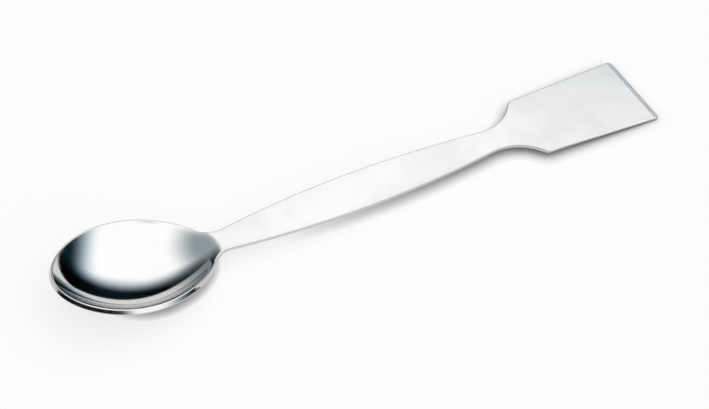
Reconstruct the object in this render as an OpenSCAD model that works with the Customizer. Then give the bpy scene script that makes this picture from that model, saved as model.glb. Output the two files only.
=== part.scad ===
// Lab spatula: one piece of stainless sheet, with a spoon bowl at one end and a flat blade
// at the other. X runs from the bowl to the blade, Y is across and Z is up from the table.
// The part lies as it rests, on the bottom of the bowl and on the end of the blade.

/* [Bowl] */
// Length of the hollow, inside the rim
bowl_length = 36.9; // [30:0.1:44]
// Width of the hollow, inside the rim
bowl_width = 26.2; // [18:0.1:34]
// Depth of the hollow below the rim
bowl_depth = 6.5; // [4:0.1:10]
// Thickness of the bowl's wall
bowl_sheet = 1.25; // [0.6:0.05:1.6]
// Share by which the rim is narrower than an ellipse towards its ends
bowl_taper = 0.1; // [0:0.01:0.3]
// Share by which the half next to the tip is wider, and the other half narrower
bowl_egg = 0.07; // [0:0.01:0.2]
// Fullness of the hollow: 0 is a dish and 1 is a pan with a flat floor
bowl_fullness = 0.5; // [0:0.05:1]
// Shift of the deepest place from the middle towards the tip, as a share of half the length
bowl_shift = 0.05; // [0:0.01:0.3]
// Slope of the rim above the table, in degrees
rim_tilt = 11.4; // [0:0.1:20]

/* [Handle] */
// Length from the end of the hollow to the shoulders of the blade
handle_length = 82.1; // [60:0.1:150]
// Width at the widest place, halfway between the necks
handle_width = 10.9; // [8:0.1:16]
// Thickness of the handle
handle_sheet = 1.1; // [0.7:0.05:1.6]
// Width of the neck next to the bowl
bowl_neck_width = 5.9; // [4:0.1:7.5]
// Radius of the fillet between the rim and the handle
bowl_neck_radius = 5.6; // [2:0.1:8]
// Width of the neck next to the blade
blade_neck_width = 6.5; // [4:0.1:7.5]
// Radius of the fillet between the handle and the blade's shoulder
blade_neck_radius = 11; // [5:0.1:14]

/* [Blade] */
// Length from the shoulders to the end
blade_length = 30.4; // [20:0.1:50]
// Width across the shoulders
shoulder_width = 18.4; // [15:0.1:24]
// Width across the end
end_width = 21.4; // [16:0.1:28]
// Angle of the shoulder's flank to the handle, in degrees
shoulder_angle = 50; // [35:1:70]
// Radius of the shoulder
shoulder_radius = 1.5; // [0.5:0.1:4]
// Radius of the two end corners
corner_radius = 0.9; // [0.4:0.1:4]
// Thickness of the blade
blade_sheet = 0.8; // [0.5:0.05:1.4]
// Bend of the blade down from the handle, in degrees
blade_bend = 1.6; // [0:0.1:4]
// Length of the bevel ground on the end
bevel_length = 1.2; // [0.5:0.1:4]
// Depth that the bevel takes off at the end
bevel_depth = 0.35; // [0.05:0.05:0.4]

/* [Edges] */
// Radius of the polished edge all round the sheet
edge_radius = 0.25; // [0.1:0.01:0.3]
// Lean of the edge where the sheet slopes: 0 is square to the sheet and 1 is upright
edge_upright = 0.35; // [0:0.05:1]

/* [Hidden] */

// Half the length over which the rim runs into the handle, and the handle into the blade
neck_blend = 4;
bend_blend = 8;
// Share of the hollow's depth over which its end is rounded into the neck
lip_blend = 0.28;

// Rows of points along each stretch of the edge, and columns across the sheet
bowl_rows = 40;
neck_rows = 7;
handle_rows = 8;
blade_neck_rows = 10;
shoulder_rows = 4;
blade_rows = 6;
corner_rows = 5;
columns = 24;

bowl_a = bowl_length / 2;
bowl_b = bowl_width / 2;
neck_x = bowl_length;
shoulder_x = neck_x + handle_length;
end_x = shoulder_x + blade_length;
bevel_x = end_x - bevel_length;

// ---- Helpers ----

function unit(v) = v / norm(v);
function heading(angle) = [cos(angle), sin(angle)];
function smooth(t) = let (s = min(1, max(0, t))) s * s * (3 - 2 * s);

// Zero, then a slope of 1, joined by a parabola 2 * blend long
function ramp(d, blend) =
    d <= -blend ? 0 : d >= blend ? d : (d + blend) * (d + blend) / (4 * blend);

// Centre of a circle of radius r inside the corner p of two edges with these outward normals
function corner_centre(p, r, normal_1, normal_2) =
    p - r * (normal_1 + normal_2) / (1 + normal_1 * normal_2);

// ---- Outline of the +Y side, as [point, outward normal] pairs from the tip to the end ----

// Width of the rim as a share of an ellipse's, with u from -1 at the tip to 1 at the neck
function rim_share(u) = (1 - bowl_taper * u * u) * (1 - bowl_egg * u);

function rim_point(a) = [bowl_a * (1 - cos(a)), bowl_b * sin(a) * rim_share(-cos(a))];

function rim_normal(a) =
    let (along = rim_point(a + 0.1) - rim_point(a - 0.1)) unit([-along[1], along[0]]);

// Points on an arc. side is 1 where the sheet is inside the circle and -1 where it is outside.
function arc(centre, radius, from, to, rows, side) =
    [for (i = [1:rows]) let (out = heading(from + (to - from) * i / rows))
        [centre + radius * out, side * out]];

// Angle on the rim where a circle of the neck's radius touches it and the neck's width at once
function neck_touch(low = 90, high = 180, steps = 30) =
    let (mid = (low + high) / 2,
         y = (rim_point(mid) + bowl_neck_radius * rim_normal(mid))[1])
    steps == 0 ? mid
    : y > bowl_neck_width / 2 + bowl_neck_radius ? neck_touch(mid, high, steps - 1)
    : neck_touch(low, mid, steps - 1);

touch_angle = neck_touch();
touch_normal = rim_normal(touch_angle);
bowl_neck_centre = rim_point(touch_angle) + bowl_neck_radius * touch_normal;

shoulder = [shoulder_x, shoulder_width / 2];
flank_normal = heading(90 + shoulder_angle);
taper_angle = atan((end_width - shoulder_width) / 2 / blade_length);
side_normal = heading(90 + taper_angle);
blade_neck_y = blade_neck_width / 2 + blade_neck_radius;
blade_neck_centre = [
    shoulder_x + (blade_neck_radius - (blade_neck_y - shoulder[1]) * flank_normal[1]) / flank_normal[0],
    blade_neck_y];

// Each side of the handle is two long arcs that meet at its widest place
widest_x = (bowl_neck_centre[0] + blade_neck_centre[0]) / 2;
half_span = (blade_neck_centre[0] - bowl_neck_centre[0]) / 2;
function handle_radius(neck_width, neck_radius) =
    let (h = (handle_width - neck_width) / 2)
    (half_span * half_span + h * h) / (2 * h) - neck_radius;
bowl_side_radius = handle_radius(bowl_neck_width, bowl_neck_radius);
blade_side_radius = handle_radius(blade_neck_width, blade_neck_radius);
bowl_side_turn = asin(half_span / (bowl_side_radius + bowl_neck_radius));
blade_side_turn = asin(half_span / (blade_side_radius + blade_neck_radius));

shoulder_centre = corner_centre(shoulder, shoulder_radius, flank_normal, side_normal);
corner_centre_point = corner_centre([end_x, end_width / 2], corner_radius, side_normal, [1, 0]);
side_start = shoulder_centre + shoulder_radius * side_normal;
side_end = corner_centre_point + corner_radius * side_normal;
bevel_share = (bevel_x - side_start[0]) / (side_end[0] - side_start[0]);

// Shares of the straight side that have a row, one of them where the bevel starts
side_shares = concat([for (i = [1:blade_rows]) i / blade_rows * min(1, bevel_share)],
                     bevel_share < 0.999 ? [1] : []);

outline = concat(
    [for (i = [0:bowl_rows]) let (a = touch_angle * i / bowl_rows) [rim_point(a), rim_normal(a)]],
    arc(bowl_neck_centre, bowl_neck_radius,
        180 + atan2(touch_normal[1], touch_normal[0]), 270 + bowl_side_turn, neck_rows, -1),
    arc([widest_x, handle_width / 2 - bowl_side_radius], bowl_side_radius,
        90 + bowl_side_turn, 90, handle_rows, 1),
    arc([widest_x, handle_width / 2 - blade_side_radius], blade_side_radius,
        90, 90 - blade_side_turn, handle_rows, 1),
    arc(blade_neck_centre, blade_neck_radius,
        270 - blade_side_turn, 270 + shoulder_angle, blade_neck_rows, -1),
    [[shoulder_centre + shoulder_radius * flank_normal, flank_normal]],
    arc(shoulder_centre, shoulder_radius, 90 + shoulder_angle, 90 + taper_angle, shoulder_rows, 1),
    [for (s = side_shares) [side_start + s * (side_end - side_start), side_normal]],
    arc(corner_centre_point, corner_radius, 90 + taper_angle, 0, corner_rows, 1));

// ---- Upper face of the sheet, as a height above the neck ----

function rim_rise(x) = tan(rim_tilt) * ramp(neck_x - x, neck_blend);

function hollow(x, y) =
    let (u = x / bowl_a - 1,
         v = y / bowl_b / rim_share(min(1, u)),
         shifted = u + bowl_shift * max(0, 1 - u * u - v * v),
         out = shifted * shifted + v * v,
         depth_share = 1 - out * (1 - bowl_fullness + bowl_fullness * out),
         lip = 0.001 + lip_blend * pow(smooth(u), 2))
    bowl_depth * ramp(depth_share, lip);

// The bowl's lowest point sets the neck's height, and the handle falls from there so that the
// blade's end meets the same table
bowl_floor = min([for (i = [0:200]) let (x = bowl_length * i / 200) rim_rise(x) - hollow(x, 0)]);
neck_height = bowl_sheet - bowl_floor;
handle_slope = (neck_height - blade_sheet - tan(blade_bend) * blade_length) / (end_x - neck_x);

function face_z(x, y) =
    neck_height + rim_rise(x) - hollow(x, y) - handle_slope * ramp(x - neck_x, neck_blend)
    - tan(blade_bend) * ramp(x - shoulder_x, bend_blend);

function face_normal(x, y) =
    let (h = 0.01)
    unit([face_z(x - h, y) - face_z(x + h, y), face_z(x, y - h) - face_z(x, y + h), 2 * h]);

// A point at a depth below the upper face, measured square to the sheet
function under_face(x, y, depth) = [x, y, face_z(x, y)] - depth * face_normal(x, y);

function thickness(x) =
    let (past_bowl = smooth((x - neck_x) / neck_blend + 0.5),
         past_bend = smooth((x - shoulder_x) / bend_blend / 2 + 0.5))
    bowl_sheet + (handle_sheet - bowl_sheet) * past_bowl + (blade_sheet - handle_sheet) * past_bend;

function ground_off(x) = bevel_depth * min(1, max(0, x - bevel_x) / bevel_length);

// ---- Rounded edge ----

// Up, out and lean of the edge at a plan point with outward normal n. Up and out are square to
// each other, and the lean is the edge's turn from square to the sheet towards upright.
function edge_up(p) = face_normal(p[0], p[1]);
function edge_out(n, up) = let (flat = [n[0], n[1], 0]) unit(flat - (flat * up) * up);
function edge_lean(n, up) = edge_upright * asin(-(n[0] * up[0] + n[1] * up[1]));

function round_down(x) = min(edge_radius, 0.45 * (thickness(x) - ground_off(x)));

// Plan point where the lower face meets the rounding of the edge
function under_inset(p, n) =
    let (up = edge_up(p),
         straight = thickness(p[0]) - ground_off(p[0]) - 2 * round_down(p[0]),
         slope = n[0] * up[0] + n[1] * up[1])
    p - straight * tan(edge_lean(n, up)) * sqrt(1 - slope * slope) * n;

// Across the edge from the upper face to the lower one, at a plan point with outward normal n
function edge_section(p, n) =
    let (lean = edge_lean(n, edge_up(p)), down = round_down(p[0]), q = under_inset(p, n))
    concat(
        [for (a = [0, 45, 90])
            rounding(p, n, a * (1 + lean / 90), ground_off(p[0]), down, 1)],
        [for (a = [90, 45, 0])
            rounding(q, n, a * (1 - lean / 90), thickness(q[0]), down, -1)]);

// Point on the rounding that starts at a depth below the plan point p and has turned by an angle
function rounding(p, n, turn, depth, down, side) =
    let (up = edge_up(p))
    under_face(p[0], p[1], depth + side * down * (1 - cos(turn)))
    + edge_radius * sin(turn) * edge_out(n, up);

section_points = 6;

// ---- Points: the edge all round, then the upper and lower faces inside it ----

rows = len(outline) - 1;
loop_length = 2 * rows + columns;
// Plan points where the rounding starts on the upper face, and where it ends on the lower one
inset = [for (o = outline) o[0] - edge_radius * o[1]];
inset_below = [for (i = [0:rows]) under_inset(inset[i], outline[i][1])];

// Places of the columns from 1 on the +Y side to -1, a little closer together at the edges
function across(j) = let (s = 1 - 2 * j / columns) (s + sin(90 * s)) / 2;

edge_points = concat(
    [for (i = [0:rows]) each edge_section(inset[i], outline[i][1])],
    [for (j = [1:columns - 1]) each edge_section([inset[rows][0], inset[rows][1] * across(j)], [1, 0])],
    [for (i = [rows:-1:1])
        each edge_section([inset[i][0], -inset[i][1]], [outline[i][1][0], -outline[i][1][1]])]);

upper_points = [for (i = [1:rows - 1]) for (j = [1:columns - 1])
    under_face(inset[i][0], inset[i][1] * across(j), ground_off(inset[i][0]))];
lower_points = [for (i = [1:rows - 1]) for (j = [1:columns - 1])
    under_face(inset_below[i][0], inset_below[i][1] * across(j), thickness(inset_below[i][0]))];

all_points = concat(edge_points, upper_points, lower_points);

function edge_index(k, s) = (k % loop_length) * section_points + s;
// Point in row i and column j of a face. s is its place on the edge, and first its first index.
function face_index(i, j, s, first) =
    i == 0 ? edge_index(0, s)
    : j == 0 ? edge_index(i, s)
    : j == columns ? edge_index(loop_length - i, s)
    : i == rows ? edge_index(rows + j, s)
    : first + (i - 1) * (columns - 1) + j - 1;

upper_first = len(edge_points);
lower_first = upper_first + len(upper_points);
last_s = section_points - 1;

function triangles(a, b, c, d) = [[a, b, c], [a, c, d]];

edge_faces = [for (k = [0:loop_length - 1]) for (s = [0:last_s - 1])
    each triangles(edge_index(k, s), edge_index(k, s + 1),
                   edge_index(k + 1, s + 1), edge_index(k + 1, s))];

function sheet_faces(s, first) = concat(
    [for (j = [0:columns - 1])
        [face_index(0, 0, s, first), face_index(1, j, s, first), face_index(1, j + 1, s, first)]],
    [for (i = [1:rows - 1]) for (j = [0:columns - 1])
        each triangles(face_index(i, j, s, first), face_index(i + 1, j, s, first),
                       face_index(i + 1, j + 1, s, first), face_index(i, j + 1, s, first))]);

function turned(faces) = [for (f = faces) [f[2], f[1], f[0]]];

all_faces = concat(edge_faces, sheet_faces(0, upper_first), turned(sheet_faces(last_s, lower_first)));

// Middle of the length and lowest point, which go to the origin
low = [for (axis = [0:2]) min([for (p = all_points) p[axis]])];
high = [for (axis = [0:2]) max([for (p = all_points) p[axis]])];

module spatula() {
    color([0.86, 0.87, 0.88])
        translate([-(low[0] + high[0]) / 2, 0, -low[2]])
            polyhedron(points = all_points, faces = all_faces, convexity = 6);
}

spatula();
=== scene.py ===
"""Lab spatula: one piece of polished stainless sheet, shown on a pale floor under soft light.

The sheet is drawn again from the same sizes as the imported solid, with many more points and true
rounded edges, and takes the solid's place. X runs from the bowl to the blade, Y is across and Z
is up from the table. Lengths are in metres and angles in radians, unless a name says degrees.
"""

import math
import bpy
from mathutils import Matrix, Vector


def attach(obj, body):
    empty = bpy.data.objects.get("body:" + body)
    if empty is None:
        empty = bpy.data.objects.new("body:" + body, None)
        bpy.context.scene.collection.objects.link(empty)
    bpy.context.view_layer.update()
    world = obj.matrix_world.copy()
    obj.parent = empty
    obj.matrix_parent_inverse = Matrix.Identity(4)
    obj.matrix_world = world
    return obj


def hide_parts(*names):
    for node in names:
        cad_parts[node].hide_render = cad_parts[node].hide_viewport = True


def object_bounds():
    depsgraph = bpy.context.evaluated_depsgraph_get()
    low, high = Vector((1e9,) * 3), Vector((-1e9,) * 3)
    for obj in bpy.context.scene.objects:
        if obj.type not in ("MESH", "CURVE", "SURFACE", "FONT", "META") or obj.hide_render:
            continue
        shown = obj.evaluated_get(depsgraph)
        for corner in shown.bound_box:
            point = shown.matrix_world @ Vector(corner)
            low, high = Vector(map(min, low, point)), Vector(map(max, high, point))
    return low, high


bl_info = {
    "name": "Lab Spatula",
    "version": (1, 0, 0),
    "blender": (4, 5, 0),
    "location": "3D View > Sidebar > Spatula",
    "description": "Builds a stainless lab spatula with a spoon bowl and a flat blade",
    "category": "Add Mesh",
}

import bpy
import numpy as np
from bpy.props import FloatProperty, FloatVectorProperty, IntProperty, PointerProperty
from mathutils import Matrix, Vector

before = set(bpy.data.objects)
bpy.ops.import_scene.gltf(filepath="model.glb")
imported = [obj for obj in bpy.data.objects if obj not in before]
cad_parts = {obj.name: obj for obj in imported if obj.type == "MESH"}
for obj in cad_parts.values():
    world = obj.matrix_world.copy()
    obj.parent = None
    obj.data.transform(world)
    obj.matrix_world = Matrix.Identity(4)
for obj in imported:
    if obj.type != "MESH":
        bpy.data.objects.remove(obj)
CAD_LOW, CAD_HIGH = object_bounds()

MM = 0.001

# Rows of points along each stretch of the outline, for each step of detail
RIM_ROWS = 45
NECK_ROWS = 8
HANDLE_ROWS = 10
SHOULDER_ROWS = 4
SIDE_ROWS = 8
BEVEL_START_ROWS = 3
BEVEL_ROWS = 2
CORNER_ROWS = 5
# Steps in each of the two quarter turns of the rounded edge
EDGE_STEPS = 5
# Length of the close rows at the bevel's start, in blends to each side
BEVEL_START = 1.5

# Distance and angle over which a slope is measured
SLOPE_STEP = 5e-6
ANGLE_STEP = 0.001
# Halvings that find where the neck's fillet touches the rim
HALVINGS = 40
# Places along the bowl where its lowest point is looked for
LOWEST_SAMPLES = 400

# Smallest rounding of the hollow's border, as a share of its depth
SHARPEST_LIP = 0.001
# Largest share of the sheet that the rounding of an edge takes from each face
MOST_ROUNDED = 0.45


# ---------------------------------------------------------------- sizes and colours


def length(name, description, millimetres):
    """A length that the user can set, given here in millimetres."""
    return FloatProperty(
        name=name,
        description=description,
        default=millimetres * MM,
        min=0.0,
        precision=5,
        unit="LENGTH",
    )


def angle(name, description, degrees):
    """An angle that the user can set, given here in degrees."""
    return FloatProperty(
        name=name, description=description, default=math.radians(degrees), unit="ROTATION"
    )


def share(name, description, default):
    """A plain number that the user can set."""
    return FloatProperty(name=name, description=description, default=default, precision=3)


def colour(name, description, default):
    """A colour that the user can set."""
    return FloatVectorProperty(
        name=name,
        description=description,
        default=default,
        subtype="COLOR",
        size=3,
        min=0.0,
        max=1.0,
    )


class SpatulaSizes(bpy.types.PropertyGroup):
    """Sizes of the sheet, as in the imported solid."""

    bowl_length: length("Bowl length", "Length of the hollow, inside the rim", 36.9)
    bowl_width: length("Bowl width", "Width of the hollow, inside the rim", 26.2)
    bowl_depth: length("Bowl depth", "Depth of the hollow below the rim", 6.5)
    bowl_sheet: length("Bowl sheet", "Thickness of the bowl's wall", 1.25)
    bowl_taper: share("Bowl taper", "Share by which the rim is narrower towards its ends", 0.1)
    bowl_egg: share("Bowl egg", "Share by which the half next to the tip is wider", 0.07)
    bowl_fullness: share("Bowl fullness", "0 is a dish and 1 is a pan with a flat floor", 0.5)
    bowl_shift: share("Bowl shift", "Shift of the deepest place towards the tip", 0.05)
    rim_tilt: angle("Rim tilt", "Slope of the rim above the table", 11.4)
    handle_length: length("Handle length", "From the hollow's end to the shoulders", 82.1)
    handle_width: length("Handle width", "Width at the widest place", 10.9)
    handle_sheet: length("Handle sheet", "Thickness of the handle", 1.1)
    bowl_neck_width: length("Bowl neck width", "Width of the neck next to the bowl", 5.9)
    bowl_neck_radius: length("Bowl neck radius", "Fillet between rim and handle", 5.6)
    blade_neck_width: length("Blade neck width", "Width of the neck next to the blade", 6.5)
    blade_neck_radius: length("Blade neck radius", "Fillet between handle and shoulder", 11.0)
    blade_length: length("Blade length", "Length from the shoulders to the end", 30.4)
    shoulder_width: length("Shoulder width", "Width across the shoulders", 18.4)
    end_width: length("End width", "Width across the end", 21.4)
    shoulder_angle: angle("Shoulder angle", "Angle of the shoulder's flank to the handle", 50.0)
    shoulder_radius: length("Shoulder radius", "Radius of the shoulder", 1.5)
    corner_radius: length("Corner radius", "Radius of the two end corners", 0.9)
    blade_sheet: length("Blade sheet", "Thickness of the blade", 0.8)
    blade_bend: angle("Blade bend", "Bend of the blade down from the handle", 1.6)
    bevel_length: length("Bevel length", "Length of the bevel ground on the end", 1.2)
    bevel_depth: length("Bevel depth", "Depth that the bevel takes off at the end", 0.35)
    bevel_blend: length("Bevel blend", "Half the length over which the bevel starts", 0.05)
    edge_radius: length("Edge radius", "Radius of the polished edge all round", 0.25)
    edge_upright: share("Edge upright", "0 is an edge square to the sheet, 1 is upright", 0.35)
    neck_blend: length("Neck blend", "Half the length of the bend next to the bowl", 4.0)
    bend_blend: length("Bend blend", "Half the length of the bend next to the blade", 8.0)
    lip_blend: share("Lip blend", "Share of the depth that rounds the bowl into the neck", 0.28)
    columns: IntProperty(name="Columns", description="Faces across the sheet", default=80, min=8)
    detail: IntProperty(name="Detail", description="Rows for each stretch", default=3, min=1)


class SteelFinish(bpy.types.PropertyGroup):
    """Colour, polish and wear of the stainless steel."""

    bright: colour("Bright steel", "Colour of the mirror-polished bowl", (0.645, 0.645, 0.642))
    plain: colour("Plain steel", "Colour of the handle and the blade", (0.680, 0.668, 0.662))
    cut: colour("Cut steel", "Colour of the tumbled edges", (0.60, 0.592, 0.59))
    ground: colour("Ground steel", "Colour of the ground bevel", (0.74, 0.755, 0.78))
    dulling: share("Dulling", "Share of the colour lost in the duller patches", 0.03)
    bowl_polish: share("Bowl roughness", "Roughness of the mirror-polished bowl", 0.06)
    sheet_polish: share("Sheet roughness", "Roughness of the handle and the blade", 0.17)
    edge_polish: share("Edge roughness", "Roughness of the tumbled edges", 0.08)
    bevel_polish: share("Bevel roughness", "Roughness of the ground bevel", 0.55)
    line_spacing: length("Line spacing", "Distance between polishing lines", 0.3)
    line_depth: length("Line depth", "Depth of the polishing lines", 0.00012)
    grinding_depth: length("Grinding depth", "Depth of the lines ground across the bevel", 0.0008)
    ripple_depth: length("Ripple depth", "Depth of the slow waves left by polishing", 0.004)
    wear: share("Wear", "Roughness that handling adds next to the edges", 0.05)


class StudioSettings(bpy.types.PropertyGroup):
    """Floor, light and camera."""

    light: share("Light", "Strength of the soft light from all round", 1.54)
    floor_colour: colour("Floor", "Colour of the floor", (0.268, 0.259, 0.255))
    floor_width: length("Floor width", "Width of the floor, each way", 6000.0)
    backdrop: share("Backdrop", "Brightness of the backdrop that the camera sees", 0.98)
    floor_lift: share("Floor lift", "Light that the floor adds in view and in the steel", 0.722)
    # Reach and depth of the painted shade that darkens the floor next to the object
    painted_shade_reach: length("Shade reach", "How far the object darkens the floor next to it", 3.2)
    painted_shade_depth: share("Shade depth", "How much darker the floor gets there", 1.4)
    view_heading: angle("View heading", "Direction the camera looks, from +Y to +X", 27.87)
    view_height: angle("View height", "Angle of the camera above the table", 48.66)
    view_distance: length("View distance", "Distance from the camera to the middle", 417.82)
    view_right: length("View right", "How far the picture's middle is to the right", -1.762)
    view_up: length("View up", "How far the picture's middle is above the object's", -1.450)
    view_roll: angle("View roll", "Turn of the camera about its own axis", 0.074)
    view_lens: share("View lens", "Focal length in millimetres on a 36 mm sensor", 91.9)


# ---------------------------------------------------------------- shape of the sheet


def heading(turn):
    """Unit vectors in plan at these angles."""
    turn = np.asarray(turn, dtype=float)
    return np.stack([np.cos(turn), np.sin(turn)], axis=-1)


def unit(rows):
    """The rows, each made 1 long."""
    return rows / np.linalg.norm(rows, axis=-1, keepdims=True)


def smooth(t):
    """0 to 1 with level ends, and 0 or 1 outside."""
    t = np.clip(t, 0.0, 1.0)
    return t * t * (3.0 - 2.0 * t)


def ramp(d, blend):
    """Zero, then a slope of 1, joined by a parabola 2 * blend long."""
    middle = (d + blend) ** 2 / (4.0 * blend)
    return np.where(d <= -blend, 0.0, np.where(d >= blend, d, middle))


def arc(centre, radius, start, stop, rows, side):
    """Points and normals on an arc. side is 1 where the sheet is inside the circle, or -1."""
    out = heading(np.linspace(start, stop, rows + 1)[1:])
    return centre + radius * out, side * out


def corner_centre(point, radius, normal_1, normal_2):
    """Centre of a circle inside the corner of two edges with these outward normals."""
    return point - radius * (normal_1 + normal_2) / (1.0 + normal_1 @ normal_2)


class Sheet:
    """The spatula's outline, upper face and thickness, worked out from its sizes."""

    def __init__(self, sizes):
        self.s = sizes
        self.half_length = sizes.bowl_length / 2
        self.half_width = sizes.bowl_width / 2
        self.neck_x = sizes.bowl_length
        self.shoulder_x = self.neck_x + sizes.handle_length
        self.end_x = self.shoulder_x + sizes.blade_length
        self.bevel_x = self.end_x - sizes.bevel_length
        # The bowl's lowest point sets the neck's height, and the blade's end meets the same table
        x = np.linspace(0.0, self.neck_x, LOWEST_SAMPLES)
        floor = np.min(self.rim_rise(x) - self.hollow(x, 0.0 * x))
        self.neck_height = sizes.bowl_sheet - floor
        blade_drop = math.tan(sizes.blade_bend) * sizes.blade_length
        fall = self.neck_height - sizes.blade_sheet - blade_drop
        self.handle_slope = fall / (self.end_x - self.neck_x)

    # ---- outline of the +Y side ----

    def rim_share(self, u):
        """Width of the rim as a share of an ellipse's, with u from -1 at the tip to 1."""
        return (1.0 - self.s.bowl_taper * u * u) * (1.0 - self.s.bowl_egg * u)

    def rim_point(self, a):
        """Points on the rim, at angles from 0 at the tip to pi at the neck."""
        x = self.half_length * (1.0 - np.cos(a))
        y = self.half_width * np.sin(a) * self.rim_share(-np.cos(a))
        return np.stack([x, y], axis=-1)

    def rim_normal(self, a):
        """Outward normals in plan at these angles."""
        along = self.rim_point(a + ANGLE_STEP) - self.rim_point(a - ANGLE_STEP)
        return unit(np.stack([-along[..., 1], along[..., 0]], axis=-1))

    def neck_touch(self):
        """Angle on the rim where the neck's fillet touches it, found by halving."""
        low, high = math.pi / 2, math.pi
        target = self.s.bowl_neck_width / 2 + self.s.bowl_neck_radius
        for _ in range(HALVINGS):
            middle = (low + high) / 2
            point = self.rim_point(middle) + self.s.bowl_neck_radius * self.rim_normal(middle)
            low, high = (middle, high) if point[1] > target else (low, middle)
        return (low + high) / 2

    def outline(self):
        """Points and outward normals from the tip to the end of the blade."""
        s, rows = self.s, self.s.detail
        quarter = math.pi / 2
        touch = self.neck_touch()
        touch_normal = self.rim_normal(touch)
        bowl_neck = self.rim_point(touch) + s.bowl_neck_radius * touch_normal
        shoulder = np.array([self.shoulder_x, s.shoulder_width / 2])
        flank = heading(quarter + s.shoulder_angle)
        taper = math.atan((s.end_width - s.shoulder_width) / 2 / s.blade_length)
        side = heading(quarter + taper)
        neck_y = s.blade_neck_width / 2 + s.blade_neck_radius
        neck_x = shoulder[0] + (s.blade_neck_radius - (neck_y - shoulder[1]) * flank[1]) / flank[0]
        blade_neck = np.array([neck_x, neck_y])

        # Each side of the handle is two long arcs that meet at its widest place
        widest = (bowl_neck[0] + blade_neck[0]) / 2
        half_span = (blade_neck[0] - bowl_neck[0]) / 2

        def long_arc(neck_width, neck_radius):
            """Radius, turn and centre of the arc from the widest place to this neck."""
            rise = (s.handle_width - neck_width) / 2
            radius = (half_span**2 + rise**2) / (2 * rise) - neck_radius
            turn = math.asin(half_span / (radius + neck_radius))
            return radius, turn, np.array([widest, s.handle_width / 2 - radius])

        bowl_radius, bowl_turn, bowl_centre = long_arc(s.bowl_neck_width, s.bowl_neck_radius)
        blade_radius, blade_turn, blade_centre = long_arc(s.blade_neck_width, s.blade_neck_radius)

        shoulder_centre = corner_centre(shoulder, s.shoulder_radius, flank, side)
        end_corner = np.array([self.end_x, s.end_width / 2])
        corner = corner_centre(end_corner, s.corner_radius, side, np.array([1.0, 0.0]))
        side_start = shoulder_centre + s.shoulder_radius * side
        side_end = corner + s.corner_radius * side
        to_bevel = (self.bevel_x - side_start[0]) / (side_end[0] - side_start[0])
        blend = BEVEL_START * s.bevel_blend / (side_end[0] - side_start[0])
        before = np.linspace(0.0, to_bevel - blend, SIDE_ROWS * rows)[1:]
        bevel = np.linspace(to_bevel - blend, to_bevel + blend, BEVEL_START_ROWS * rows)[1:]
        after = np.linspace(to_bevel + blend, 1.0, BEVEL_ROWS * rows)[1:]
        shares = np.concatenate([before, bevel, after])[:, None]

        rim = touch * np.linspace(0.0, 1.0, RIM_ROWS * rows + 1)
        neck_rows, long_rows = NECK_ROWS * rows, HANDLE_ROWS * rows
        touch_turn = math.pi + math.atan2(touch_normal[1], touch_normal[0])
        stretches = [
            (self.rim_point(rim), self.rim_normal(rim)),
            arc(bowl_neck, s.bowl_neck_radius, touch_turn, 3 * quarter + bowl_turn, neck_rows, -1),
            arc(bowl_centre, bowl_radius, quarter + bowl_turn, quarter, long_rows, 1),
            arc(blade_centre, blade_radius, quarter, quarter - blade_turn, long_rows, 1),
            arc(
                blade_neck,
                s.blade_neck_radius,
                3 * quarter - blade_turn,
                3 * quarter + s.shoulder_angle,
                neck_rows,
                -1,
            ),
            (shoulder_centre + s.shoulder_radius * flank[None], flank[None]),
            arc(
                shoulder_centre,
                s.shoulder_radius,
                quarter + s.shoulder_angle,
                quarter + taper,
                SHOULDER_ROWS * rows,
                1,
            ),
            (side_start + shares * (side_end - side_start), np.repeat(side[None], len(shares), 0)),
            arc(corner, s.corner_radius, quarter + taper, 0.0, CORNER_ROWS * rows, 1),
        ]
        points = np.concatenate([points for points, _ in stretches])
        normals = np.concatenate([normals for _, normals in stretches])
        return points, normals

    # ---- upper face and thickness ----

    def rim_rise(self, x):
        """Rise of the tilted rim above the neck."""
        return math.tan(self.s.rim_tilt) * ramp(self.neck_x - x, self.s.neck_blend)

    def hollow(self, x, y):
        """Depth of the bowl below its rim, and 0 outside it."""
        u = x / self.half_length - 1.0
        v = y / self.half_width / self.rim_share(np.minimum(1.0, u))
        shifted = u + self.s.bowl_shift * np.maximum(0.0, 1.0 - u * u - v * v)
        out = shifted * shifted + v * v
        depth = 1.0 - out * (1.0 - self.s.bowl_fullness + self.s.bowl_fullness * out)
        lip = SHARPEST_LIP + self.s.lip_blend * smooth(u) ** 2
        return self.s.bowl_depth * ramp(depth, lip)

    def face_height(self, x, y):
        """Height of the upper face above the table, before the bevel is ground."""
        drop = self.handle_slope * ramp(x - self.neck_x, self.s.neck_blend)
        bend = math.tan(self.s.blade_bend) * ramp(x - self.shoulder_x, self.s.bend_blend)
        return self.neck_height + self.rim_rise(x) - self.hollow(x, y) - drop - bend

    def face_normal(self, x, y, h=SLOPE_STEP):
        """Normal of the upper face, before the bevel is ground."""
        along = (self.face_height(x - h, y) - self.face_height(x + h, y)) / (2 * h)
        across = (self.face_height(x, y - h) - self.face_height(x, y + h)) / (2 * h)
        return unit(np.stack([along, across, np.ones_like(along)], axis=-1))

    def thickness(self, x):
        """Thickness of the sheet, before the bevel is ground."""
        s = self.s
        past_bowl = smooth((x - self.neck_x) / s.neck_blend + 0.5)
        past_bend = smooth((x - self.shoulder_x) / s.bend_blend / 2 + 0.5)
        handle = s.bowl_sheet + (s.handle_sheet - s.bowl_sheet) * past_bowl
        return handle + (s.blade_sheet - s.handle_sheet) * past_bend

    def ground_off(self, x):
        """Depth that the bevel takes off."""
        s = self.s
        return s.bevel_depth / s.bevel_length * ramp(x - self.bevel_x, s.bevel_blend)

    def ground_normal(self, x, y, h=SLOPE_STEP):
        """Normal of the upper face with the bevel ground on it."""
        normal = self.face_normal(x, y)
        steepness = (self.ground_off(x + h) - self.ground_off(x - h)) / (2 * h)
        return unit(normal + steepness[..., None] * np.array([1.0, 0.0, 0.0]))

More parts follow.
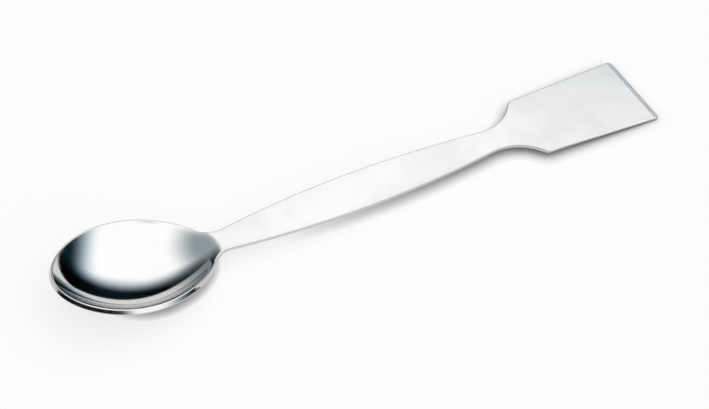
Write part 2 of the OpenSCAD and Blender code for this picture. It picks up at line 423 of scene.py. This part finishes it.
    def upper(self, x, y):
        """Points and normals on the upper face."""
        point = np.stack([x, y, self.face_height(x, y)], axis=-1)
        point = point - self.ground_off(x)[..., None] * self.face_normal(x, y)
        return point, self.ground_normal(x, y)

    def lower(self, x, y):
        """Points and normals on the lower face."""
        normal = self.face_normal(x, y)
        point = np.stack([x, y, self.face_height(x, y)], axis=-1)
        return point - self.thickness(x)[..., None] * normal, -normal

    def edge_frame(self, plan, outward):
        """Up and out at the edge, square to each other, and the edge's lean towards upright."""
        up = self.face_normal(plan[:, 0], plan[:, 1])
        flat = np.concatenate([outward, np.zeros((len(outward), 1))], axis=1)
        along = np.sum(flat * up, axis=1)
        out = unit(flat - along[:, None] * up)
        return up, out, self.s.edge_upright * np.arcsin(-along), np.sqrt(1.0 - along**2)

    def round_down(self, x):
        """How far down each face's rounding reaches at the edge."""
        left = self.thickness(x) - self.ground_off(x)
        return np.minimum(self.s.edge_radius, MOST_ROUNDED * left)

    def under_inset(self, plan, outward):
        """Plan points where the lower face meets the rounding of the edge."""
        x = plan[:, 0]
        _, _, lean, flatness = self.edge_frame(plan, outward)
        straight = self.thickness(x) - self.ground_off(x) - 2.0 * self.round_down(x)
        return plan - (straight * np.tan(lean) * flatness)[:, None] * outward

    def edge(self, plan, outward, steps=EDGE_STEPS):
        """Points and normals down the rounded edge, from the upper face to the lower face."""
        radius = self.s.edge_radius
        under = self.under_inset(plan, outward)
        points, normals = [], []

        def rounding(place, depth, down, turns, lean_sign):
            """Adds one quarter turn, which starts this deep below the upper face."""
            x, y = place[:, 0], place[:, 1]
            up, out, _, _ = self.edge_frame(place, outward)
            start = np.stack([x, y, self.face_height(x, y)], axis=-1) - depth[:, None] * up
            facing = up if down > 0 else -up
            for turn in turns:
                around = (turn * (1.0 + lean_sign * lean / (math.pi / 2)))[:, None]
                inward = round_down * (1.0 - np.cos(around))
                points.append(start + radius * np.sin(around) * out - inward * facing)
                normals.append(np.cos(around) * facing + np.sin(around) * out)

        lean = self.edge_frame(plan, outward)[2]
        round_down = self.round_down(plan[:, 0])[:, None]
        turns = np.linspace(0.0, math.pi / 2, steps + 1)
        rounding(plan, self.ground_off(plan[:, 0]), 1, turns, 1.0)
        rounding(under, self.thickness(under[:, 0]), -1, turns[::-1], -1.0)
        normals[0] = self.ground_normal(plan[:, 0], plan[:, 1])
        return np.stack(points, axis=1), np.stack(normals, axis=1)


def grid_faces(rows, wrap=False):
    """Quads between neighbouring rows of vertex numbers."""
    after = np.roll(rows, -1, axis=0) if wrap else rows[1:]
    rows = rows if wrap else rows[:-1]
    corners = [rows[:, :-1], after[:, :-1], after[:, 1:], rows[:, 1:]]
    return np.stack(corners, axis=-1).reshape(-1, 4)


# Parts of the surface that are finished in different ways
FACE, EDGE, BEVEL = range(3)


def build_sheet(sizes):
    """The whole spatula with its tip at x = 0: vertices, normals, quads, the finish of each quad,
    and how far each vertex lies inside the sheet's edge."""
    sheet = Sheet(sizes)
    points, normals = sheet.outline()
    inset = points - sizes.edge_radius * normals
    last = len(inset) - 1
    columns = sizes.columns
    step = np.linspace(1.0, -1.0, columns + 1)
    # Columns a little closer together at the edges
    across = (step + np.sin(math.pi / 2 * step)) / 2

    end = np.stack([np.full(columns - 1, inset[last, 0]), inset[last, 1] * across[1:-1]], axis=1)
    end_normals = np.repeat([[1.0, 0.0]], columns - 1, axis=0)
    mirror = np.array([1.0, -1.0])
    loop = np.concatenate([inset, end, inset[:0:-1] * mirror])
    loop_normals = np.concatenate([normals, end_normals, normals[:0:-1] * mirror])
    edge_points, edge_normals = sheet.edge(loop, loop_normals)
    loop_count, ring = edge_points.shape[:2]
    edge_ids = np.arange(loop_count * ring).reshape(loop_count, ring)

    def inner_grid(border):
        """The grid of x and y inside a border, without the border itself."""
        x = np.repeat(border[1:-1, :1], columns - 1, axis=1)
        return x, border[1:-1, 1:] * across[None, 1:-1]

    x, y = inner_grid(inset)
    upper_points, upper_normals = sheet.upper(x, y)
    lower_points, lower_normals = sheet.lower(*inner_grid(sheet.under_inset(inset, normals)))

    def face_ids(ring_place, first):
        """Vertex numbers of a face, row by row, with its border taken from the edge."""
        ids = np.zeros((last + 1, columns + 1), dtype=int)
        border = edge_ids[:, ring_place]
        ids[0] = border[0]
        ids[1:, 0] = border[1 : last + 1]
        ids[1:, -1] = border[: last + columns - 1 : -1]
        ids[-1] = border[last : last + columns + 1]
        inner = np.arange(first, first + x.size).reshape(x.shape)
        ids[1:-1, 1:-1] = inner
        return ids

    upper_first = loop_count * ring
    quads = [
        grid_faces(edge_ids, wrap=True),
        grid_faces(face_ids(0, upper_first))[:, ::-1],
        grid_faces(face_ids(ring - 1, upper_first + x.size)),
    ]
    zones = [np.full(len(part), zone) for part, zone in zip(quads, (EDGE, FACE, FACE))]
    quads = np.concatenate(quads)
    zones = np.concatenate(zones)
    vertices = [edge_points, upper_points, lower_points]
    directions = [edge_normals, upper_normals, lower_normals]
    vertices = np.concatenate([v.reshape(-1, 3) for v in vertices])
    directions = np.concatenate([n.reshape(-1, 3) for n in directions])
    on_bevel = vertices[quads, 0].mean(axis=1) > sheet.bevel_x + sizes.bevel_blend
    upper_quads = directions[quads, 2].mean(axis=1) > 0.5
    zones[on_bevel & upper_quads & (zones == FACE)] = BEVEL
    inset_share = 1.0 - np.abs(np.repeat(across[None, 1:-1], len(x), axis=0))
    depth = (inset[1:-1, 1:] * inset_share).ravel()
    inset_depth = np.concatenate([np.zeros(loop_count * ring), depth, depth])
    return vertices, directions, quads, zones, inset_depth


def place_on_frame(vertices):
    """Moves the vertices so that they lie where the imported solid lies."""
    low, high = vertices.min(axis=0), vertices.max(axis=0)
    middle = (CAD_LOW + CAD_HIGH) / 2
    shift = np.array([middle.x - (low[0] + high[0]) / 2, middle.y, CAD_LOW.z - low[2]])
    return vertices + shift


def mesh_object(name, vertices, normals, quads, zones, inset_depth):
    """A smooth-shaded object with these vertex normals. Quads lose any double corner."""
    faces = [list(dict.fromkeys(quad)) for quad in quads.tolist()]
    mesh = bpy.data.meshes.new(name)
    mesh.from_pydata(vertices.tolist(), [], faces)
    mesh.validate()
    mesh.shade_smooth()
    mesh.polygons.foreach_set("material_index", zones.astype(np.int32))
    mesh.attributes.new("inset", "FLOAT", "POINT").data.foreach_set("value", inset_depth)
    mesh.normals_split_custom_set_from_vertices(normals.tolist())
    piece = bpy.data.objects.new(name, mesh)
    bpy.context.scene.collection.objects.link(piece)
    return piece


# ---------------------------------------------------------------- materials

BLACK = (0.0, 0.0, 0.0, 1.0)
WHITE = (1.0, 1.0, 1.0, 1.0)

# Scratches: their pitch and depth against the lines', and the noise at which they start and end
SCRATCH_PITCH = 0.35
SCRATCH_DEPTH = -3.0
SCRATCH_NOISE = (0.70, 0.76)
# Noise at which dull patches and nicks start and end, and scales in features per metre
PATCH_NOISE = (0.38, 0.68)
NICK_NOISE = (0.42, 0.62)
NICK_SCALE = 900.0
RIPPLE_SCALE = 110.0
# Where the bowl's polish starts and stops giving way to the handle's, from the neck, in metres
POLISH_CHANGE = (-0.004, 0.008)
# Roughness that patches, lines and grinding add, as shares of the finish's own
PATCHY = 0.25
STREAKY = 0.15
GRINDING = 0.3


class Nodes:
    """Short ways to add nodes to a node tree and to link them."""

    def __init__(self, tree):
        self.tree = tree
        tree.nodes.clear()

    def add(self, kind, settings=None, **inputs):
        """A node with these settings, and with these inputs set or linked by name."""
        node = self.tree.nodes.new(kind)
        for name, value in (settings or {}).items():
            setattr(node, name, value)
        for name, value in inputs.items():
            self.join(value, node.inputs[name.replace("_", " ")])
        return node

    def join(self, value, socket):
        """Links an output socket to an input, or sets the input to a plain value."""
        if isinstance(value, bpy.types.NodeSocket):
            self.tree.links.new(value, socket)
        else:
            socket.default_value = value

    def math(self, operation, *values):
        """The output of a Math node."""
        node = self.tree.nodes.new("ShaderNodeMath")
        node.operation = operation
        for value, socket in zip(values, node.inputs):
            self.join(value, socket)
        return node.outputs[0]

    def vector(self, operation, *values):
        """The output of a Vector Math node."""
        node = self.tree.nodes.new("ShaderNodeVectorMath")
        node.operation = operation
        for value, socket in zip(values, node.inputs):
            self.join(value, socket)
        return node.outputs["Value" if operation == "DOT_PRODUCT" else "Vector"]

    def span(self, value, low, high, to_low=0.0, to_high=1.0, smooth_ends=True):
        """value from low to high becomes to_low to to_high, and stays there outside."""
        node = self.tree.nodes.new("ShaderNodeMapRange")
        node.interpolation_type = "SMOOTHSTEP" if smooth_ends else "LINEAR"
        for item, socket in zip((value, low, high, to_low, to_high), node.inputs):
            self.join(item, socket)
        return node.outputs[0]

    def mix_colour(self, factor, first, second, blend="MIX"):
        """The output of a Mix node for colours."""
        node = self.tree.nodes.new("ShaderNodeMix")
        node.data_type = "RGBA"
        node.blend_type = blend
        self.join(factor, node.inputs[0])
        self.join(first, node.inputs[6])
        self.join(second, node.inputs[7])
        return node.outputs[2]


def rgba(rgb):
    """The colour with an alpha of 1."""
    return (rgb[0], rgb[1], rgb[2], 1.0)


def node_group(name, inputs, outputs):
    """An empty shader node group. Inputs are (name, kind, default) and outputs (name, kind)."""
    group = bpy.data.node_groups.new(name, "ShaderNodeTree")
    n = Nodes(group)
    for label, kind, default in inputs:
        socket = group.interface.new_socket(name=label, in_out="INPUT", socket_type=kind)
        if default is not None:
            socket.default_value = default
    for label, kind in outputs:
        group.interface.new_socket(name=label, in_out="OUTPUT", socket_type=kind)
    return group, n, n.add("NodeGroupInput").outputs, n.add("NodeGroupOutput").inputs


def make_polish_group():
    """Fine polishing lines, slow waves and sparse hairline scratches, as heights in metres."""
    group, n, inputs, outputs = node_group(
        "polishing_marks",
        [
            ("Place", "NodeSocketVector", None),
            ("Stretch", "NodeSocketVector", (1.0, 1.0, 1.0)),
            ("Spacing", "NodeSocketFloat", 0.0003),
            ("Line Depth", "NodeSocketFloat", 1e-7),
            ("Ripple Depth", "NodeSocketFloat", 1e-6),
        ],
        [("Height", "NodeSocketFloat"), ("Lines", "NodeSocketFloat")],
    )
    place = inputs["Place"]
    along = n.vector("MULTIPLY", place, inputs["Stretch"])
    pitch = n.math("DIVIDE", 1.0, inputs["Spacing"])
    lines = n.add(
        "ShaderNodeTexNoise", Vector=along, Scale=pitch, Detail=2.0, Roughness=0.6
    ).outputs["Fac"]
    waves = n.add(
        "ShaderNodeTexNoise", Vector=place, Scale=RIPPLE_SCALE, Detail=1.0, Roughness=0.4
    ).outputs["Fac"]
    scratch_pitch = n.math("MULTIPLY", pitch, SCRATCH_PITCH)
    scratch = n.add(
        "ShaderNodeTexNoise", Vector=along, Scale=scratch_pitch, Detail=0.0
    ).outputs["Fac"]
    cut = n.span(scratch, *SCRATCH_NOISE)
    height = n.math("MULTIPLY", lines, inputs["Line Depth"])
    height = n.math("MULTIPLY_ADD", waves, inputs["Ripple Depth"], height)
    deeper = n.math("MULTIPLY", cut, inputs["Line Depth"])
    n.join(n.math("MULTIPLY_ADD", deeper, SCRATCH_DEPTH, height), outputs["Height"])
    n.join(n.math("MAXIMUM", lines, cut), outputs["Lines"])
    return group


def make_wear_group():
    """Duller patches and handling wear, which grows towards the edges of the sheet."""
    group, n, inputs, outputs = node_group(
        "handling_wear",
        [
            ("Place", "NodeSocketVector", None),
            ("Inset", "NodeSocketFloat", 0.0),
            ("Patch Size", "NodeSocketFloat", 0.012),
            ("Reach", "NodeSocketFloat", 0.0012),
        ],
        [("Patches", "NodeSocketFloat"), ("Worn", "NodeSocketFloat")],
    )
    place = inputs["Place"]
    size = n.math("DIVIDE", 1.0, inputs["Patch Size"])
    cloud = n.add(
        "ShaderNodeTexNoise", Vector=place, Scale=size, Detail=3.0, Roughness=0.55
    ).outputs["Fac"]
    n.join(n.span(cloud, *PATCH_NOISE), outputs["Patches"])
    near_edge = n.span(inputs["Inset"], 0.0, inputs["Reach"], 1.0, 0.0)
    broken = n.add(
        "ShaderNodeTexNoise", Vector=place, Scale=NICK_SCALE, Detail=3.0, Roughness=0.7
    ).outputs["Fac"]
    n.join(n.math("MULTIPLY", near_edge, n.span(broken, *NICK_NOISE)), outputs["Worn"])
    return group


class Steel:
    """Stainless steel in three finishes, which share the marks of polishing and of wear."""

    def __init__(self, finish, neck):
        self.finish = finish
        self.neck = neck
        self.polishing = make_polish_group()
        self.wear = make_wear_group()

    def start(self, name, stretch, line_depth, ripple_depth, patch_size):
        """A new material, its nodes, its object coordinates, and its marks and wear."""
        material = bpy.data.materials.new(name)
        material.use_nodes = True
        n = Nodes(material.node_tree)
        place = n.add("ShaderNodeTexCoord").outputs["Object"]
        marks = n.add("ShaderNodeGroup", {"node_tree": self.polishing}, Place=place)
        marks.inputs["Stretch"].default_value = stretch
        marks.inputs["Spacing"].default_value = self.finish.line_spacing
        marks.inputs["Line Depth"].default_value = line_depth
        marks.inputs["Ripple Depth"].default_value = ripple_depth
        inset = n.add("ShaderNodeAttribute", {"attribute_name": "inset"}).outputs["Fac"]
        wear = n.add("ShaderNodeGroup", {"node_tree": self.wear}, Place=place, Inset=inset)
        wear.inputs["Patch Size"].default_value = patch_size
        return material, n, place, marks.outputs, wear.outputs

    def close(self, n, tone, roughness, height):
        """The metal shader with this colour, roughness and height."""
        bump = n.add("ShaderNodeBump", Strength=1.0, Distance=1.0, Height=height)
        shader = n.add(
            "ShaderNodeBsdfPrincipled",
            Base_Color=tone,
            Metallic=1.0,
            Roughness=roughness,
            Normal=bump.outputs[0],
        )
        n.add("ShaderNodeOutputMaterial", Surface=shader.outputs[0])

    def dull(self, n, tone, patches):
        """The tone, a little darker in the duller patches."""
        keep = 1.0 - self.finish.dulling
        darker = n.mix_colour(1.0, tone, (keep, keep, keep, 1.0), "MULTIPLY")
        return n.mix_colour(patches, tone, darker)

    def faces(self):
        """Mirror polish in the bowl, and fine lengthwise lines on the handle and the blade."""
        f = self.finish
        material, n, place, marks, wear = self.start(
            "polished_steel",
            stretch=(0.03, 1.0, 1.0),
            line_depth=f.line_depth,
            ripple_depth=f.ripple_depth,
            patch_size=0.014,
        )
        x = n.add("ShaderNodeSeparateXYZ", Vector=place).outputs["X"]
        neck = CAD_LOW.x + self.neck
        past_neck = n.span(x, neck + POLISH_CHANGE[0], neck + POLISH_CHANGE[1])
        tone = n.mix_colour(past_neck, rgba(f.bright), rgba(f.plain))
        tone = self.dull(n, tone, wear["Patches"])
        polish = n.span(past_neck, 0.0, 1.0, f.bowl_polish, f.sheet_polish, smooth_ends=False)
        patchy = n.math("MULTIPLY_ADD", wear["Patches"], PATCHY * f.sheet_polish, polish)
        streaky = n.math("MULTIPLY_ADD", marks["Lines"], STREAKY * f.sheet_polish, patchy)
        worn = n.math("MULTIPLY_ADD", wear["Worn"], f.wear, streaky)
        self.close(n, tone, worn, marks["Height"])
        return material

    def edges(self):
        """The rounded edge, tumbled smooth, with small nicks."""
        f = self.finish
        material, n, _, marks, wear = self.start(
            "tumbled_steel",
            stretch=(0.3, 1.0, 1.0),
            line_depth=f.line_depth,
            ripple_depth=f.ripple_depth,
            patch_size=0.005,
        )
        tone = self.dull(n, rgba(f.cut), wear["Worn"])
        nicks = n.math("MULTIPLY_ADD", wear["Worn"], f.wear, f.edge_polish)
        self.close(n, tone, nicks, marks["Height"])
        return material

    def bevel(self):
        """The bevel, with lines from the grinding wheel across it."""
        f = self.finish
        material, n, _, marks, wear = self.start(
            "ground_steel",
            stretch=(1.0, 0.06, 1.0),
            line_depth=f.grinding_depth,
            ripple_depth=0.0,
            patch_size=0.006,
        )
        tone = self.dull(n, rgba(f.ground), wear["Patches"])
        grind = n.math("MULTIPLY_ADD", marks["Lines"], GRINDING * f.bevel_polish, f.bevel_polish)
        self.close(n, tone, grind, marks["Height"])
        return material


# ---------------------------------------------------------------- studio

SHADE_SAMPLES = 16
# Width of the camera's sensor in millimetres, and the nearest distance it sees in metres
SENSOR_WIDTH = 36.0
NEAREST = 0.01


def sky_direction(azimuth, elevation):
    """Unit vector at an azimuth from +Y towards +X and an elevation, in degrees."""
    a, e = math.radians(azimuth), math.radians(elevation)
    return (math.sin(a) * math.cos(e), math.cos(a) * math.cos(e), math.sin(e))


# Soft cards round the object that take light away: azimuth, elevation, radius and soft edge in
# degrees, and the share of red, green and blue that is left
CARDS = (
    (37, -30, 65, 20, (0.003, 0.008, 0.010)),
    (37, -30, 67, 18, (0.750, 0.910, 1.000)),
    (89, -34, 61, 30, (0.004, 0.015, 0.020)),
    (89, -34, 65, 28, (0.670, 0.870, 1.000)),
    (-70, 22, 52, 40, (0.265, 0.320, 0.340)),
    (-100, -40, 59, 14, (0.006, 0.010, 0.012)),
    (-142, -20, 45, 9, (0.010, 0.010, 0.020)),
    (2, 18, 22, 30, (0.090, 0.110, 0.115)),
    (198, 5, 19, 14, (0.015, 0.020, 0.027)),
)


def make_world(studio):
    """Even light from all round, cards that shape it, and a white backdrop for the camera."""
    world = bpy.data.worlds.new("studio")
    bpy.context.scene.world = world
    world.use_nodes = True
    n = Nodes(world.node_tree)
    direction = n.add("ShaderNodeTexCoord").outputs["Generated"]
    light = WHITE
    for azimuth, elevation, radius, softness, left in CARDS:
        closeness = n.vector("DOT_PRODUCT", direction, sky_direction(azimuth, elevation))
        outer = math.cos(math.radians(radius + softness / 2))
        inner = math.cos(math.radians(max(0.0, radius - softness / 2)))
        light = n.mix_colour(n.span(closeness, outer, inner), light, rgba(left), "MULTIPLY")
    room = n.add("ShaderNodeBackground", Color=light, Strength=studio.light)
    backdrop = n.add("ShaderNodeBackground", Color=WHITE, Strength=studio.backdrop)
    seen = n.add("ShaderNodeLightPath").outputs["Is Camera Ray"]
    both = n.add("ShaderNodeMixShader")
    n.join(seen, both.inputs[0])
    n.join(room.outputs[0], both.inputs[1])
    n.join(backdrop.outputs[0], both.inputs[2])
    n.add("ShaderNodeOutputWorld", Surface=both.outputs[0])


def make_floor(studio):
    """A sheet of pale paper that keeps the object's shadow, deepened next to the object by painted
    shade, and is clear from below.
    """
    half = studio.floor_width / 2
    corners = [(-half, -half, 0.0), (half, -half, 0.0), (half, half, 0.0), (-half, half, 0.0)]
    mesh = bpy.data.meshes.new("floor")
    mesh.from_pydata(corners, [], [(0, 1, 2, 3)])
    floor = bpy.data.objects.new("floor", mesh)
    bpy.context.scene.collection.objects.link(floor)
    floor.location.z = CAD_LOW.z

    material = bpy.data.materials.new("floor_paper")
    material.use_nodes = True
    n = Nodes(material.node_tree)
    path = n.add("ShaderNodeLightPath").outputs
    through = n.math("MAXIMUM", path["Is Glossy Ray"], path["Is Transmission Ray"])
    seen = n.math("MAXIMUM", path["Is Camera Ray"], through)
    # Painted shade: an occlusion test darkens the floor's colour and its added light next to the
    # object, on top of the shadow that the light casts
    open_sky = n.add(
        "ShaderNodeAmbientOcclusion", {"samples": SHADE_SAMPLES}, Distance=studio.painted_shade_reach
    )
    painted_contact_shade = n.math("POWER", open_sky.outputs["AO"], studio.painted_shade_depth)
    lift = n.math("MULTIPLY", seen, studio.floor_lift)
    shader = n.add(
        "ShaderNodeBsdfPrincipled",
        Base_Color=n.mix_colour(painted_contact_shade, BLACK, rgba(studio.floor_colour)),
        Roughness=1.0,
        Specular_IOR_Level=0.0,
        Emission_Color=WHITE,
        Emission_Strength=n.math("MULTIPLY", lift, painted_contact_shade),
    )
    underside = n.add("ShaderNodeNewGeometry").outputs["Backfacing"]
    below = n.math("MULTIPLY", underside, path["Is Camera Ray"])
    both = n.add("ShaderNodeMixShader")
    n.join(below, both.inputs[0])
    n.join(shader.outputs[0], both.inputs[1])
    n.join(n.add("ShaderNodeBsdfTransparent").outputs[0], both.inputs[2])
    n.add("ShaderNodeOutputMaterial", Surface=both.outputs[0])
    mesh.materials.append(material)


def make_camera(studio):
    """The camera, above and in front of the spatula, with the bowl at the left."""
    turn, rise = studio.view_heading, studio.view_height
    back = Vector((
        -math.sin(turn) * math.cos(rise),
        -math.cos(turn) * math.cos(rise),
        math.sin(rise),
    ))
    right = Vector((math.cos(turn), -math.sin(turn), 0.0))
    up = back.cross(right)
    data = bpy.data.cameras.new("camera")
    data.sensor_width = SENSOR_WIDTH
    data.lens = studio.view_lens
    data.clip_start = NEAREST
    camera = bpy.data.objects.new("camera", data)
    bpy.context.scene.collection.objects.link(camera)
    middle = (CAD_LOW + CAD_HIGH) / 2
    aim = Vector((middle.x, middle.y, CAD_LOW.z))
    place = aim + studio.view_distance * back + studio.view_right * right + studio.view_up * up
    axes = Matrix((right, up, back)).transposed() @ Matrix.Rotation(studio.view_roll, 3, "Z")
    camera.matrix_world = Matrix.Translation(place) @ axes.to_4x4()
    bpy.context.scene.camera = camera


# ---------------------------------------------------------------- operators and panel


class SPATULA_OT_sheet(bpy.types.Operator):
    """Build the spatula, in polished stainless steel"""

    bl_idname = "spatula.sheet"
    bl_label = "Spatula"

    def execute(self, context):
        scene = context.scene
        vertices, *surface = build_sheet(scene.spatula_sizes)
        piece = mesh_object("stainless_spatula", place_on_frame(vertices), *surface)
        steel = Steel(scene.spatula_finish, scene.spatula_sizes.bowl_length)
        for material in (steel.faces(), steel.edges(), steel.bevel()):
            piece.data.materials.append(material)
        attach(piece, "root")
        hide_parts("spatula")
        return {"FINISHED"}


class SPATULA_OT_studio(bpy.types.Operator):
    """Set up the floor, the light and the camera"""

    bl_idname = "spatula.studio"
    bl_label = "Studio"

    def execute(self, context):
        studio = context.scene.spatula_studio
        make_world(studio)
        make_floor(studio)
        make_camera(studio)
        context.scene.view_settings.view_transform = "Standard"
        return {"FINISHED"}


class SPATULA_PT_panel(bpy.types.Panel):
    """Sizes, finish and studio of the spatula"""

    bl_idname = "SPATULA_PT_panel"
    bl_label = "Lab Spatula"
    bl_space_type = "VIEW_3D"
    bl_region_type = "UI"
    bl_category = "Spatula"

    def draw(self, context):
        scene = context.scene
        for group, operator in (
            (scene.spatula_sizes, SPATULA_OT_sheet),
            (scene.spatula_finish, None),
            (scene.spatula_studio, SPATULA_OT_studio),
        ):
            box = self.layout.box()
            for name in group.bl_rna.properties.keys():
                if name not in ("rna_type", "name"):
                    box.prop(group, name)
            if operator:
                box.operator(operator.bl_idname)


CLASSES = (
    SpatulaSizes,
    SteelFinish,
    StudioSettings,
    SPATULA_OT_sheet,
    SPATULA_OT_studio,
    SPATULA_PT_panel,
)


def register():
    for item in CLASSES:
        bpy.utils.register_class(item)
    bpy.types.Scene.spatula_sizes = PointerProperty(type=SpatulaSizes)
    bpy.types.Scene.spatula_finish = PointerProperty(type=SteelFinish)
    bpy.types.Scene.spatula_studio = PointerProperty(type=StudioSettings)


def unregister():
    for name in ("spatula_sizes", "spatula_finish", "spatula_studio"):
        delattr(bpy.types.Scene, name)
    for item in reversed(CLASSES):
        bpy.utils.unregister_class(item)


def main():
    register()
    bpy.ops.spatula.sheet()
    bpy.ops.spatula.studio()


if __name__ == "__main__":
    main()
